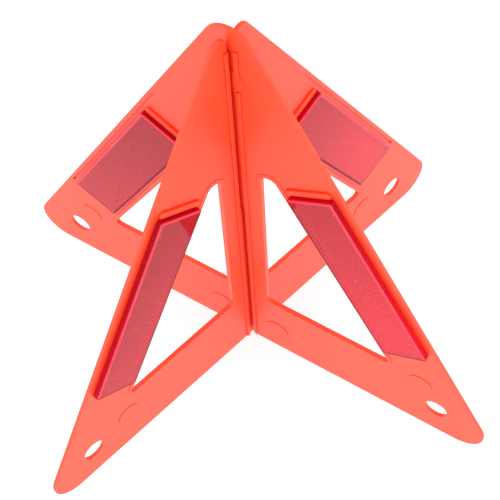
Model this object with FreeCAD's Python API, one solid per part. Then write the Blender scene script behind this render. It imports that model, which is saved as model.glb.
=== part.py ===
import FreeCAD, Part
import math
import os

# Slot-together warning triangle. Two flat moulded boards cross on one upright line and
# make four fins. The lower board is slotted from the top, the upper board from the bottom.
# Each fin carries a red prismatic reflector on both faces, welded on by its rim.
# Millimetres. +Z is up, the origin is on the floor where the two boards cross, and the
# two nearer fins open towards -Y.
#
# A board is drawn flat: U runs along it from the crossing line, Z is up, and Y is through
# its thickness. A place on a fin can also be given from the tip as (s, d): s down the
# sloping edge and d square to it, inwards.

# --- boards ---
side = 350.0                # sharp-cornered side of the equal-sided triangle
thickness = 2.1             # plate
apex_radius = 14.5          # outline's top corner
foot_radius = 17.0          # its two lower corners
edge_radius = 0.3           # broken edge round the outline
cross_angle = 76.4          # between the boards, as they stand in their slots

# --- window in each fin ---
window_axis_gap = 14.2      # crossing line to the upright side
window_floor = 52.0         # base to the level side
window_lens_gap = 4.6       # reflector to the sloping side
window_top_radius = 5.2
window_foot_radius = 2.6
bead_width = 2.8            # raised bead round the window
bead_height = 0.35
crown_radius = 0.3          # rounding of the beads and ribs

# --- slots and the guide ribs beside them ---
slot_side_gap = 0.2         # between one board's ribs and the other's, at the crossing
slot_end_height = 144.0     # where the two slots meet
slot_end_gap = 0.5          # between the two slot ends, so that both boards stand
slot_end_radius = 1.0
mouth_radius = 5.0          # lead-in at the open end
rib_width = 2.4
rib_height = 0.9
rib_top_drop = 28.6         # upper end below the sharp tip

# --- hole near each outer corner ---
hole_diameter = 14.8
hole_inset = 25.6           # from the base and from the sloping edge

# --- reflectors ---
lens_width = 30.4
lens_height = 3.7
lens_start = 124.0          # upper end from the sharp tip, along the sloping edge
lens_foot = 99.4            # lower end from the sharp lower corner
lens_inset = 5.2            # from the sloping edge
lens_edge_radius = 0.6
lens_corner_radius = 1.2
lens_wall = 1.3             # rim that is welded to the board
lens_face = 1.9             # smooth face with the prisms under it

# --- stop rib above each reflector, and a drain groove beside the two far front ones ---
stop_width = 4.4
stop_height = 1.4
stop_radius = 1.0
stop_gap = 0.7
groove_width = 1.2
groove_depth = 0.9
groove_gap = 1.8            # to the reflector
groove_above = 16.0         # beyond the stop rib
groove_beyond = 5.6         # beyond the reflector's lower end

# --- round ejector pads, which break the guide rib where they meet it ---
mark_radius = 7.9
mark_height = 0.3
apex_mark_drop = 50.6       # below the sharp tip
upper_foot_mark = 56.8      # in from the sharp lower corner
upper_foot_mark_height = 46.6
upper_middle_mark = 20.4    # out from the crossing line
upper_middle_mark_height = 20.6
lower_foot_mark = 72.9
lower_foot_mark_height = 32.0

# --- worked out from the sizes above ---
height = side * math.sqrt(3) / 2
half_plate = thickness / 2
ribbed = half_plate + rib_height
crossing = math.radians(cross_angle)
half_slot = (ribbed * (1 + abs(math.cos(crossing))) + slot_side_gap) / math.sin(crossing)
lens_length = side - lens_start - lens_foot
window_edge_bar = lens_inset + lens_width + window_lens_gap
upper_marks = [(side / 2 - upper_foot_mark, upper_foot_mark_height),
               (upper_middle_mark, upper_middle_mark_height), (0, height - apex_mark_drop)]
lower_marks = [(side / 2 - lower_foot_mark, lower_foot_mark_height)]
DOWN = FreeCAD.Vector(0.5, 0, -math.sqrt(3) / 2)
INWARD = FreeCAD.Vector(-math.sqrt(3) / 2, 0, -0.5)
TIP = FreeCAD.Vector(0, 0, height)
UP = FreeCAD.Vector(0, 0, 1)
THROUGH = FreeCAD.Vector(0, 1, 0)


def on_fin(s, d):
    """Place s along the sloping edge from the tip and d inwards from it, on the +U fin."""
    return TIP + DOWN * s + INWARD * d


def polygon(points):
    return Part.Face(Part.makePolygon(points + [points[0]]))


def rounded(points, radii, y_low, y_high):
    """Plate between y_low and y_high with the given outline, each corner with its radius."""
    flat = [FreeCAD.Vector(p.x, y_low, p.z) for p in points]
    plate = polygon(flat).extrude(THROUGH * (y_high - y_low))
    for point, radius in zip(flat, radii):
        if radius > 0:
            corner = [edge for edge in plate.Edges if is_corner(edge, point)]
            plate = plate.makeFillet(radius, corner)
    return plate


def is_corner(edge, point):
    ends = [vertex.Point for vertex in edge.Vertexes]
    return len(ends) == 2 and all(math.hypot(e.x - point.x, e.z - point.z) < 0.01 for e in ends)


def box(u_low, u_high, z_low, z_high, y_low, y_high):
    corner = FreeCAD.Vector(u_low, y_low, z_low)
    return Part.makeBox(u_high - u_low, y_high - y_low, z_high - z_low, corner)


def disc(u, z, radius, y_low, y_high):
    return Part.makeCylinder(radius, y_high - y_low, FreeCAD.Vector(u, y_low, z), THROUGH)


def other_fin(shape):
    return shape.mirror(FreeCAD.Vector(0, 0, 0), FreeCAD.Vector(1, 0, 0))


def other_face(shape):
    return shape.mirror(FreeCAD.Vector(0, 0, 0), THROUGH)


def window_plate(grow, y_low, y_high):
    """The window's prism, grown outwards by a bead's width."""
    u = window_axis_gap - grow
    z = window_floor - grow
    d = window_edge_bar - grow
    top = FreeCAD.Vector(u, 0, height - math.sqrt(3) * u - 2 * d)
    foot = FreeCAD.Vector(u, 0, z)
    outer = FreeCAD.Vector((height - z - 2 * d) / math.sqrt(3), 0, z)
    radii = [window_top_radius + grow, window_foot_radius + grow, window_foot_radius + grow]
    return rounded([top, foot, outer], radii, y_low, y_high)


def pill(s_low, s_high, d_low, d_high, y_low, y_high):
    """Bar with round ends, along its longer side."""
    width = min(s_high - s_low, d_high - d_low)
    points = [on_fin(s_low, d_low), on_fin(s_high, d_low), on_fin(s_high, d_high), on_fin(s_low, d_high)]
    return rounded(points, [width * 0.499] * 4, y_low, y_high)


def crowned(shape, radius):
    """Rounds the edges of the highest face, towards +Y."""
    top = shape.BoundBox.YMax
    return shape.makeFillet(radius, [edge for edge in shape.Edges if edge.BoundBox.YMin > top - 0.01])


def raised_details(face):
    """Stop rib, window bead and guide rib of the +U fin on its +Y face."""
    stop_high = lens_start - stop_gap
    stop = pill(stop_high - stop_width, stop_high, lens_inset, lens_inset + lens_width,
                0, face + stop_height)
    stop = crowned(stop, stop_radius)
    bead = crowned(window_plate(bead_width, 0, face + bead_height), crown_radius)
    rib = crowned(box(half_slot, half_slot + rib_width, -1, height - rib_top_drop,
                      0, face + rib_height), crown_radius)
    return [stop, bead, rib]


def drain_groove(face):
    """Groove between the +U fin's reflector and its sloping edge, on the +Y face."""
    s_low = lens_start - stop_gap - stop_width - groove_above
    d_high = lens_inset - groove_gap
    return pill(s_low, lens_start + lens_length + groove_beyond, d_high - groove_width, d_high,
                face - groove_depth, face + 1)


def board(slot_from_top, marks):
    """One board, lying in the XZ plane with its plate centred on Y = 0."""
    reach = 2 * ribbed
    plate = slotted_plate(slot_from_top, -half_plate, half_plate)
    rims = [edge for edge in plate.Edges if edge.BoundBox.YLength < 0.01]
    plate = plate.makeFillet(edge_radius, rims)

    adds = raised_details(half_plate)
    adds += [other_fin(shape) for shape in adds]
    adds += [other_face(shape) for shape in adds]
    mark_top = half_plate + mark_height
    mark_places = [(x, z) for u, z in marks for x in {u, -u}]
    adds += [disc(x, z, mark_radius, 0, mark_top) for x, z in mark_places]
    outline = slotted_plate(slot_from_top, -reach, reach)
    plate = plate.fuse([shape.common(outline) for shape in adds])

    window = window_plate(0, -reach, reach)
    hole_u = side / 2 - hole_inset * math.sqrt(3)
    hole = disc(hole_u, hole_inset, hole_diameter / 2, -reach, reach)
    groove = drain_groove(half_plate)
    cuts = [window, other_fin(window), hole, other_fin(hole)]
    cuts.append(other_fin(groove) if slot_from_top else groove)
    cuts += [disc(x, z, mark_radius, mark_top, reach) for x, z in mark_places]
    return plate.cut(cuts).removeSplitter()


def slotted_plate(from_top, y_low, y_high):
    """The board's outline with its slot, rounded at the lead-in and at the slot's end."""
    points = [TIP, FreeCAD.Vector(-side / 2, 0, 0), FreeCAD.Vector(side / 2, 0, 0)]
    plate = rounded(points, [apex_radius, foot_radius, foot_radius], y_low, y_high)
    if from_top:
        end, far = slot_end_height - slot_end_gap / 2, height
    else:
        end, far = slot_end_height + slot_end_gap / 2, -1
    plate = plate.cut(box(-half_slot, half_slot, min(end, far), max(end, far), y_low, y_high))
    uprights = [edge for edge in plate.Edges if is_upright(edge)]
    ends = [edge for edge in uprights if abs(edge.BoundBox.ZMin - end) < 0.01]
    mouths = [edge for edge in uprights if abs(edge.BoundBox.ZMin - end) >= 0.01]
    plate = plate.makeFillet(slot_end_radius, ends)
    mouths = [edge for edge in plate.Edges if any(same_place(edge, mouth) for mouth in mouths)]
    return plate.makeFillet(mouth_radius, mouths)


def is_upright(edge):
    """True for an edge through the thickness that lies on a side of the slot."""
    bounds = edge.BoundBox
    return bounds.YLength > 1 and bounds.XLength < 0.01 and abs(abs(bounds.XMin) - half_slot) < 0.01


def same_place(edge, other):
    return (edge.CenterOfMass - other.CenterOfMass).Length < 0.01


def lens():
    """Reflector on the +Y face of the +U fin: a smooth face on a rim, open at the back."""
    base = half_plate
    outer = crowned(lens_block(0, base, base + lens_height, lens_corner_radius), lens_edge_radius)
    return outer.cut(lens_block(lens_wall, base - 1, base + lens_height - lens_face, lens_corner_radius))


def lens_block(shrink, y_low, y_high, radius):
    s_low, s_high = lens_start + shrink, lens_start + lens_length - shrink
    d_low, d_high = lens_inset + shrink, lens_inset + lens_width - shrink
    points = [on_fin(s_low, d_low), on_fin(s_high, d_low), on_fin(s_high, d_high), on_fin(s_low, d_high)]
    return rounded(points, [radius] * 4, y_low, y_high)


def turned(shape, angle):
    copy = shape.copy()
    copy.rotate(FreeCAD.Vector(0, 0, 0), UP, angle)
    return copy


def save(name, shape):
    shape.exportStep("parts/" + name + ".step")
    print(name, round(shape.Volume, 1), len(shape.Solids), shape.isValid())


# The lower board runs from the near left to the far right, and the upper board from the far
# left to the near right. The +Y face of each flat board becomes the one that looks forward.
half_front = (180 - cross_angle) / 2
lower_turn = -90 - half_front
upper_turn = 90 + half_front
os.makedirs("parts", exist_ok=True)
save("lower_board", turned(board(True, lower_marks), lower_turn))
save("upper_board", turned(board(False, upper_marks), upper_turn))
fins = {
    "near_left": (lower_turn, False),
    "far_right": (lower_turn, True),
    "far_left": (upper_turn, False),
    "near_right": (upper_turn, True),
}
for fin, (angle, mirrored) in fins.items():
    front = other_fin(lens()) if mirrored else lens()
    save("reflector_" + fin + "_front", turned(front, angle))
    save("reflector_" + fin + "_back", turned(other_face(front), angle))
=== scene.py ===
import math

import bmesh
import bpy
from mathutils import Matrix, Vector


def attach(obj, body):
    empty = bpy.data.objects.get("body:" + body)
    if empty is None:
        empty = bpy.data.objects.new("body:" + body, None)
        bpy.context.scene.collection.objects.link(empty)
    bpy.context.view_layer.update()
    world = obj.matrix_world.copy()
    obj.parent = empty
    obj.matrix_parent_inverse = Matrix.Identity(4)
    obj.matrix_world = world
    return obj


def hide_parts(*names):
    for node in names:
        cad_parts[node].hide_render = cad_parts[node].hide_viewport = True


# A slot-together warning triangle: two moulded boards of fluorescent plastic that cross on
# one upright line, with a clear red prismatic reflector on both faces of every fin.
# The boards are the frame's own solids. The reflectors are built here, prisms and all.

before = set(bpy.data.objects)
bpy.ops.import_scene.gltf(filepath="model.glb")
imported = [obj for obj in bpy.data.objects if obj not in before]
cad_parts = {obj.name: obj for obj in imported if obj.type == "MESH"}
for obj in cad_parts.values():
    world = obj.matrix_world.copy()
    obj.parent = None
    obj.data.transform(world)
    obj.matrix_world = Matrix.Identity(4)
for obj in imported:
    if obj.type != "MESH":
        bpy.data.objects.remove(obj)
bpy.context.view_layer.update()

MM = 0.001

# --- board sizes that place the reflectors, in millimetres ---
SIDE = 350.0
HEIGHT = SIDE * math.sqrt(3) / 2
THICKNESS = 2.1
CROSS_ANGLE = 76.4

# --- reflector, in millimetres ---
LENS_START = 124.0          # upper end from the board's sharp tip, along the sloping edge
LENS_INSET = 5.2            # from the sloping edge
LENS_LENGTH = 126.6
LENS_WIDTH = 30.4
LENS_HEIGHT = 3.7
LENS_EDGE = 0.6
LENS_CORNER = 1.2
LIP = 0.8                   # flat line that runs round the face, inside the rounded edge
RIM = 3.8                   # smooth border that is welded to the board
FACE = 1.0                  # clear plastic over the highest prism edges
PRISM_PITCH = 3.0           # across the flats of one six-sided prism
# Slots 1 and 2 hold the rounded edges' painted highlight and painted shade.
LIT_EDGE_SLOT, SHADED_EDGE_SLOT = 1, 2      # slot 0 is the face and the prisms

# --- sizes of the patterns in the plastics, in millimetres ---
SPARK_GRAIN = 0.4545        # a real spark-eroded grain is finer; drawn coarse enough to show
FLOW_CLOUD = 71.43          # slow change of tint along the flow of the plastic
FACE_RIPPLE = 11.11         # slow ripple in a moulded face
PAINTED_SHADE_REACH = 4.0            # how near a wall has to be for the painted shade to darken a corner


# ---------------------------------------------------------------- reflectors

def prism_cell(bm):
    """Three faces of a cube stood on its corner, which points away from the lens's face."""
    edge = PRISM_PITCH / math.sqrt(2)
    made = bmesh.ops.create_cube(bm, size=edge)["verts"]
    stand = Vector((1, 1, 1)).rotation_difference(Vector((0, 0, 1))).to_matrix()
    bmesh.ops.rotate(bm, verts=made, cent=(0, 0, 0), matrix=stand)
    bm.normal_update()
    upper = [face for face in bm.faces if face.normal.z > 0]
    bmesh.ops.delete(bm, geom=upper, context="FACES")
    lowest = min(bm.verts, key=lambda vert: vert.co.z)
    highest = max(bm.verts, key=lambda vert: vert.co.z)
    turn = Matrix.Rotation(math.pi / 2 - math.atan2(highest.co.y, highest.co.x), 3, "Z")
    bmesh.ops.rotate(bm, verts=bm.verts, cent=(0, 0, 0), matrix=turn)
    bmesh.ops.translate(bm, verts=bm.verts, vec=(0, 0, LENS_HEIGHT - FACE - highest.co.z))


def repeat(bm, steps, move):
    """Copies everything in the mesh steps times, each copy moved on by one more move."""
    source = bm.verts[:] + bm.edges[:] + bm.faces[:]
    for step in range(1, steps):
        copy = bmesh.ops.duplicate(bm, geom=source)["geom"]
        verts = [item for item in copy if isinstance(item, bmesh.types.BMVert)]
        bmesh.ops.translate(bm, verts=verts, vec=move * step)


def prism_field(bm):
    """A honeycomb of prisms that covers the lens, cut to the inside of the smooth border."""
    prism_cell(bm)
    row_step = PRISM_PITCH * math.sqrt(3) / 2
    repeat(bm, 2, Vector((PRISM_PITCH / 2, row_step, 0)))
    repeat(bm, math.ceil(LENS_WIDTH / row_step / 2) + 1, Vector((0, 2 * row_step, 0)))
    repeat(bm, math.ceil(LENS_LENGTH / PRISM_PITCH) + 1, Vector((PRISM_PITCH, 0, 0)))
    bmesh.ops.remove_doubles(bm, verts=bm.verts, dist=0.001)
    cuts = [((RIM, 0, 0), (-1, 0, 0)), ((LENS_LENGTH - RIM, 0, 0), (1, 0, 0)),
            ((0, RIM, 0), (0, -1, 0)), ((0, LENS_WIDTH - RIM, 0), (0, 1, 0))]
    for place, outwards in cuts:
        whole = bm.verts[:] + bm.edges[:] + bm.faces[:]
        bmesh.ops.bisect_plane(bm, geom=whole, dist=0.0001, plane_co=place, plane_no=outwards,
                               clear_outer=True)


def outer_shell(bm):
    """The lens's face and four walls, open towards the board."""
    made = bmesh.ops.create_cube(bm, size=1)["verts"]
    bmesh.ops.scale(bm, verts=made, vec=(LENS_LENGTH, LENS_WIDTH, LENS_HEIGHT))
    middle = Vector((LENS_LENGTH, LENS_WIDTH, LENS_HEIGHT)) / 2
    bmesh.ops.translate(bm, verts=made, vec=middle)
    faces = {face for vert in made for face in vert.link_faces}
    bottom = min(faces, key=lambda face: face.calc_center_median().z)
    uprights = [edge for edge in bm.edges if edge.verts[0] in made and is_upright(edge)]
    bmesh.ops.delete(bm, geom=[bottom], context="FACES_ONLY")
    bmesh.ops.bevel(bm, geom=uprights, offset=LENS_CORNER, segments=3, profile=0.5,
                    affect="EDGES", material=-1)
    top = max(bm.faces, key=lambda face: face.calc_center_median().z)
    rounding = bmesh.ops.bevel(bm, geom=top.edges[:], offset=LENS_EDGE, segments=3, profile=0.5,
                               affect="EDGES", material=-1)["faces"]
    level = [face for face in bm.faces if face.calc_center_median().z > LENS_HEIGHT - 0.01]
    top = max(level, key=lambda face: face.calc_area())
    lip = bmesh.ops.inset_region(bm, faces=[top], thickness=LIP, use_even_offset=True)["faces"]
    # Painted light: the lip and rounded edges on the board's sides take the painted-shade material,
    # the rest the painted-highlight material.
    for face in lip + rounding:
        place = face.calc_center_median()
        painted_shade_side = place.x > LENS_LENGTH - RIM or place.y > LENS_WIDTH - RIM
        face.material_index = SHADED_EDGE_SLOT if painted_shade_side else LIT_EDGE_SLOT


def is_upright(edge):
    """True for an edge that stands up from the board."""
    along = edge.verts[0].co - edge.verts[1].co
    return abs(along.z) > 0.9 * along.length


def lens_mesh():
    """One closed lens: prisms, inner walls down to the board, welded rim, walls and face."""
    bm = bmesh.new()
    prism_field(bm)
    border = [edge for edge in bm.edges if edge.is_boundary]
    walls = bmesh.ops.extrude_edge_only(bm, edges=border)["geom"]
    feet = [item for item in walls if isinstance(item, bmesh.types.BMVert)]
    bmesh.ops.scale(bm, verts=feet, vec=(1, 1, 0))
    outer_shell(bm)
    loops = [edge for edge in bm.edges if edge.is_boundary]
    bmesh.ops.triangle_fill(bm, edges=loops, use_beauty=True)
    bmesh.ops.recalc_face_normals(bm, faces=bm.faces)
    mesh = bpy.data.meshes.new("lens")
    bm.to_mesh(mesh)
    bm.free()
    return mesh


def lens_frame(heading, front_heading):
    """From a lens's own axes to the object's: down the sloping edge, inwards, and outwards."""
    out = Vector((math.cos(heading), math.sin(heading), 0))
    normal = Vector((math.cos(front_heading), math.sin(front_heading), 0))
    up = Vector((0, 0, 1))
    down_edge = out * 0.5 - up * (math.sqrt(3) / 2)
    inward = -out * (math.sqrt(3) / 2) - up * 0.5
    start = up * HEIGHT + down_edge * LENS_START + inward * LENS_INSET + normal * THICKNESS / 2
    axes = Matrix((down_edge, inward, normal)).transposed().to_4x4()
    return Matrix.Scale(MM, 4) @ Matrix.Translation(start) @ axes


def lens_piece(name, pattern, place):
    """A copy of the lens in its place; a mirrored place turns its faces back outwards."""
    mesh = pattern.copy()
    mesh.transform(place)
    if place.determinant() < 0:
        mesh.flip_normals()
    piece = bpy.data.objects.new(name, mesh)
    bpy.context.scene.collection.objects.link(piece)
    return piece


# ---------------------------------------------------------------- materials

def colour(code):
    """Linear colour from an sRGB hex code."""
    values = [int(code[at:at + 2], 16) / 255 for at in (0, 2, 4)]
    linear = [v / 12.92 if v <= 0.04045 else ((v + 0.055) / 1.055) ** 2.4 for v in values]
    return (*linear, 1)


def node(tree, kind, settings=None, **links):
    """Adds a node; settings are its properties, and links its sockets' values or sources."""
    made = tree.nodes.new(kind)
    for name, value in (settings or {}).items():
        setattr(made, name, value)
    for name, value in links.items():
        socket = made.inputs[name.replace("_", " ")]
        if isinstance(value, bpy.types.NodeSocket):
            tree.links.new(value, socket)
        else:
            socket.default_value = value
    return made


def noise_scale(size):
    """Scale of a noise whose features are about size millimetres across."""
    return 1 / (size * MM)


def new_material(name):
    material = bpy.data.materials.new(name)
    material.use_nodes = True
    material.node_tree.nodes.clear()
    return material, material.node_tree


def fluorescent_board():
    """Fluorescent polypropylene, injection moulded in a lightly spark-eroded mould: a soft
    sheen, a painted glow for its fluorescence that is dimmed in the corners, and painted
    shade that turns the corners a deeper red."""
    material, tree = new_material("moulded_fluorescent_polypropylene")
    place = node(tree, "ShaderNodeTexCoord").outputs["Object"]
    grain = node(tree, "ShaderNodeTexNoise", Vector=place, Scale=noise_scale(SPARK_GRAIN), Detail=3.0)
    flow = node(tree, "ShaderNodeTexNoise", Vector=place, Scale=noise_scale(FLOW_CLOUD), Detail=2.0)
    tint = node(tree, "ShaderNodeMix", {"data_type": "RGBA"}, Factor=flow.outputs["Fac"])
    tint.inputs["A"].default_value = colour("FF400A")
    tint.inputs["B"].default_value = colour("FF4C14")
    bump = node(tree, "ShaderNodeBump", Height=grain.outputs["Fac"], Strength=0.25, Distance=0.04 * MM)
    shader = node(tree, "ShaderNodeBsdfPrincipled", Roughness=0.4, IOR=1.65,
                  Normal=bump.outputs["Normal"])
    # Painted shade: where ambient occlusion finds walls close by, the colour turns a deeper red and
    # the painted glow dims.
    corner_occlusion = node(tree, "ShaderNodeAmbientOcclusion", {"samples": 8}, Distance=PAINTED_SHADE_REACH * MM)
    painted_corner_shade = node(tree, "ShaderNodeMapRange", Value=corner_occlusion.outputs["AO"])
    painted_corner_shade.inputs["From Min"].default_value = 0.35
    painted_corner_shade.inputs["From Max"].default_value = 0.85
    shade = node(tree, "ShaderNodeMix", {"data_type": "RGBA"}, Factor=painted_corner_shade.outputs["Result"])
    # Painted shade colour for the corners.
    shade.inputs["A"].default_value = colour("D40A02")
    tree.links.new(tint.outputs["Result"], shade.inputs["B"])
    tree.links.new(shade.outputs["Result"], shader.inputs["Base Color"])
    # Painted glow: an emission that stands in for the fluorescence, weaker in the painted-shade
    # corners.
    shader.inputs["Emission Color"].default_value = colour("FF2408")
    painted_light = node(tree, "ShaderNodeMapRange", Value=painted_corner_shade.outputs["Result"])
    painted_light.inputs["To Min"].default_value = 0.08
    painted_light.inputs["To Max"].default_value = 0.2
    tree.links.new(painted_light.outputs["Result"], shader.inputs["Emission Strength"])
    output = node(tree, "ShaderNodeOutputMaterial")
    tree.links.new(shader.outputs["BSDF"], output.inputs["Surface"])
    return material


def clear_red_acrylic():
    """Clear red acrylic, moulded in a polished mould: glossy, and deeper the further light
    runs through it. Painted light: its colour runs paler towards the right and the foot,
    where the lenses stand in brighter light, and it has a faint painted glow."""
    material, tree = new_material("moulded_clear_red_acrylic")
    place = node(tree, "ShaderNodeTexCoord").outputs["Object"]
    ripple = node(tree, "ShaderNodeTexNoise", Vector=place, Scale=noise_scale(FACE_RIPPLE), Detail=2.0)
    bump = node(tree, "ShaderNodeBump", Height=ripple.outputs["Fac"], Strength=0.1, Distance=0.2 * MM)
    shader = node(tree, "ShaderNodeBsdfPrincipled", Roughness=0.03, IOR=1.36,
                  Normal=bump.outputs["Normal"])
    # Painted light: the colour runs paler towards the right and the foot, where the lenses stand in
    # brighter light.
    across = node(tree, "ShaderNodeVectorMath", {"operation": "DOT_PRODUCT"})
    across.inputs[1].default_value = (1, 0, -1.5)
    tree.links.new(place, across.inputs[0])
    spread = node(tree, "ShaderNodeMapRange", Value=across.outputs["Value"])
    spread.inputs["From Min"].default_value = -0.31
    spread.inputs["From Max"].default_value = -0.08
    painted_light_tint = node(tree, "ShaderNodeMix", {"data_type": "RGBA"}, Factor=spread.outputs["Result"])
    painted_light_tint.inputs["A"].default_value = colour("CC1A42")
    painted_light_tint.inputs["B"].default_value = colour("FF2A58")
    tree.links.new(painted_light_tint.outputs["Result"], shader.inputs["Base Color"])
    shader.inputs["Specular IOR Level"].default_value = 0.2
    shader.inputs["Transmission Weight"].default_value = 0.7
    # Painted glow: a faint red emission, though the lens is no lamp.
    shader.inputs["Emission Color"].default_value = colour("FF1020")
    shader.inputs["Emission Strength"].default_value = 0.07
    absorb = node(tree, "ShaderNodeVolumeAbsorption", Color=(1, 0, 0.02, 1), Density=900.0)
    output = node(tree, "ShaderNodeOutputMaterial")
    tree.links.new(shader.outputs["BSDF"], output.inputs["Surface"])
    tree.links.new(absorb.outputs["Volume"], output.inputs["Volume"])
    return material


def acrylic_edge(side, deep, pale):
    """Red acrylic along the face's rounded edges, drawn opaque, with painted light: a painted
    highlight on the sides that look to the sky, and painted shade on the sides that look
    into the board."""
    material, tree = new_material("rounded_clear_red_acrylic_edge_" + side)
    place = node(tree, "ShaderNodeTexCoord").outputs["Object"]
    ripple = node(tree, "ShaderNodeTexNoise", Vector=place, Scale=noise_scale(FACE_RIPPLE), Detail=2.0)
    painted_light = node(tree, "ShaderNodeMix", {"data_type": "RGBA"}, Factor=ripple.outputs["Fac"])
    painted_light.inputs["A"].default_value = colour(deep)
    painted_light.inputs["B"].default_value = colour(pale)
    shader = node(tree, "ShaderNodeBsdfPrincipled", Roughness=0.3, IOR=1.49)
    shader.inputs["Specular IOR Level"].default_value = 0.1
    tree.links.new(painted_light.outputs["Result"], shader.inputs["Base Color"])
    output = node(tree, "ShaderNodeOutputMaterial")
    tree.links.new(shader.outputs["BSDF"], output.inputs["Surface"])
    return material


def light_table():
    """Opal acrylic light table, lit from below: an even white with soft shadows."""
    material, tree = new_material("opal_acrylic_light_table")
    shader = node(tree, "ShaderNodeBsdfPrincipled", Roughness=0.9)
    shader.inputs["Base Color"].default_value = colour("B8B8B8")
    shader.inputs["Emission Color"].default_value = (1, 1, 1, 1)
    shader.inputs["Emission Strength"].default_value = 0.78
    output = node(tree, "ShaderNodeOutputMaterial")
    tree.links.new(shader.outputs["BSDF"], output.inputs["Surface"])
    return material


# ---------------------------------------------------------------- object

board_plastic = fluorescent_board()
lens_plastic = clear_red_acrylic()
# Lit and shaded copies of the edge acrylic: a painted highlight and painted shade.
lens_highlight_edge = acrylic_edge("painted_highlight_side", "F43C50", "FF5A68")
lens_shade_edge = acrylic_edge("painted_shade_side", "7C0010", "980818")
for name in ("lower_board", "upper_board"):
    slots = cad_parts[name].data.materials
    slots.clear()
    slots.append(board_plastic)

quarter = math.pi / 2
half_front = math.radians(180 - CROSS_ANGLE) / 2
lower_turn = -quarter - half_front
upper_turn = quarter + half_front
fins = {
    "near_left": ("lower", lower_turn, lower_turn + quarter),
    "far_right": ("lower", lower_turn + math.pi, lower_turn + quarter),
    "far_left": ("upper", upper_turn, upper_turn + quarter),
    "near_right": ("upper", upper_turn + math.pi, upper_turn + quarter),
}
pattern = lens_mesh()
for fin, (body, heading, front) in fins.items():
    for face, turn in (("front", 0), ("back", math.pi)):
        name = "reflector_" + fin + "_" + face
        lens = lens_piece("prism_" + name, pattern, lens_frame(heading, front + turn))
        for plastic in (lens_plastic, lens_highlight_edge, lens_shade_edge):
            lens.data.materials.append(plastic)
        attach(lens, body)
        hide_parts(name)
bpy.data.meshes.remove(pattern)

# ---------------------------------------------------------------- room, lights and camera

bpy.ops.mesh.primitive_plane_add(size=12, location=(0, 0, 0))
floor = bpy.context.object
floor.name = "floor"
floor.data.materials.append(light_table())

world = bpy.data.worlds.new("soft_white_room")
world.use_nodes = True
sky = world.node_tree
direction = node(sky, "ShaderNodeTexCoord").outputs["Generated"]
toward = node(sky, "ShaderNodeSeparateXYZ", Vector=direction)
shade = node(sky, "ShaderNodeMapRange", Value=toward.outputs["Z"])
shade.inputs["From Min"].default_value = 0.1
shade.inputs["From Max"].default_value = 0.9
shade.inputs["To Min"].default_value = 1.0
shade.inputs["To Max"].default_value = 0.8
sky.links.new(shade.outputs["Result"], sky.nodes["Background"].inputs["Strength"])
sky.nodes["Background"].inputs["Color"].default_value = (1, 1, 1, 1)
bpy.context.scene.world = world


def softbox(name, place, target, size, power):
    """A soft rectangular lamp that faces the target."""
    light = bpy.data.lights.new(name, "AREA")
    light.shape = "RECTANGLE"
    light.size, light.size_y = size
    light.energy = power
    lamp = bpy.data.objects.new(name, light)
    lamp.location = place
    lamp.rotation_euler = (Vector(target) - Vector(place)).to_track_quat("-Z", "Y").to_euler()
    bpy.context.scene.collection.objects.link(lamp)


middle = (0, 0, 0.12)
softbox("left_softbox", (-1.3, -0.9, 0.9), middle, (1.0, 1.0), 3)
softbox("right_softbox", (1.3, -0.9, 0.8), middle, (1.0, 1.0), 3)

CAMERA_PLACE = Vector((-0.01695, -0.38822, 0.72249))
CAMERA_HEADING = math.radians(2.884)
CAMERA_DOWN = math.radians(58.156)
CAMERA_ROLL = math.radians(-4.2)

forward = Vector((math.sin(CAMERA_HEADING) * math.cos(CAMERA_DOWN),
                  math.cos(CAMERA_HEADING) * math.cos(CAMERA_DOWN), -math.sin(CAMERA_DOWN)))
level = Vector((math.cos(CAMERA_HEADING), -math.sin(CAMERA_HEADING), 0))
upright = level.cross(forward)
right = level * math.cos(CAMERA_ROLL) + upright * math.sin(CAMERA_ROLL)
up = upright * math.cos(CAMERA_ROLL) - level * math.sin(CAMERA_ROLL)
camera_data = bpy.data.cameras.new("camera")
camera_data.lens = 91.52
camera_data.sensor_width = 36
camera_data.clip_start = 0.01
camera = bpy.data.objects.new("camera", camera_data)
axes = Matrix((right, up, -forward)).transposed().to_4x4()
camera.matrix_world = Matrix.Translation(CAMERA_PLACE) @ axes
bpy.context.scene.collection.objects.link(camera)
bpy.context.scene.camera = camera
bpy.context.scene.view_settings.view_transform = "Standard"
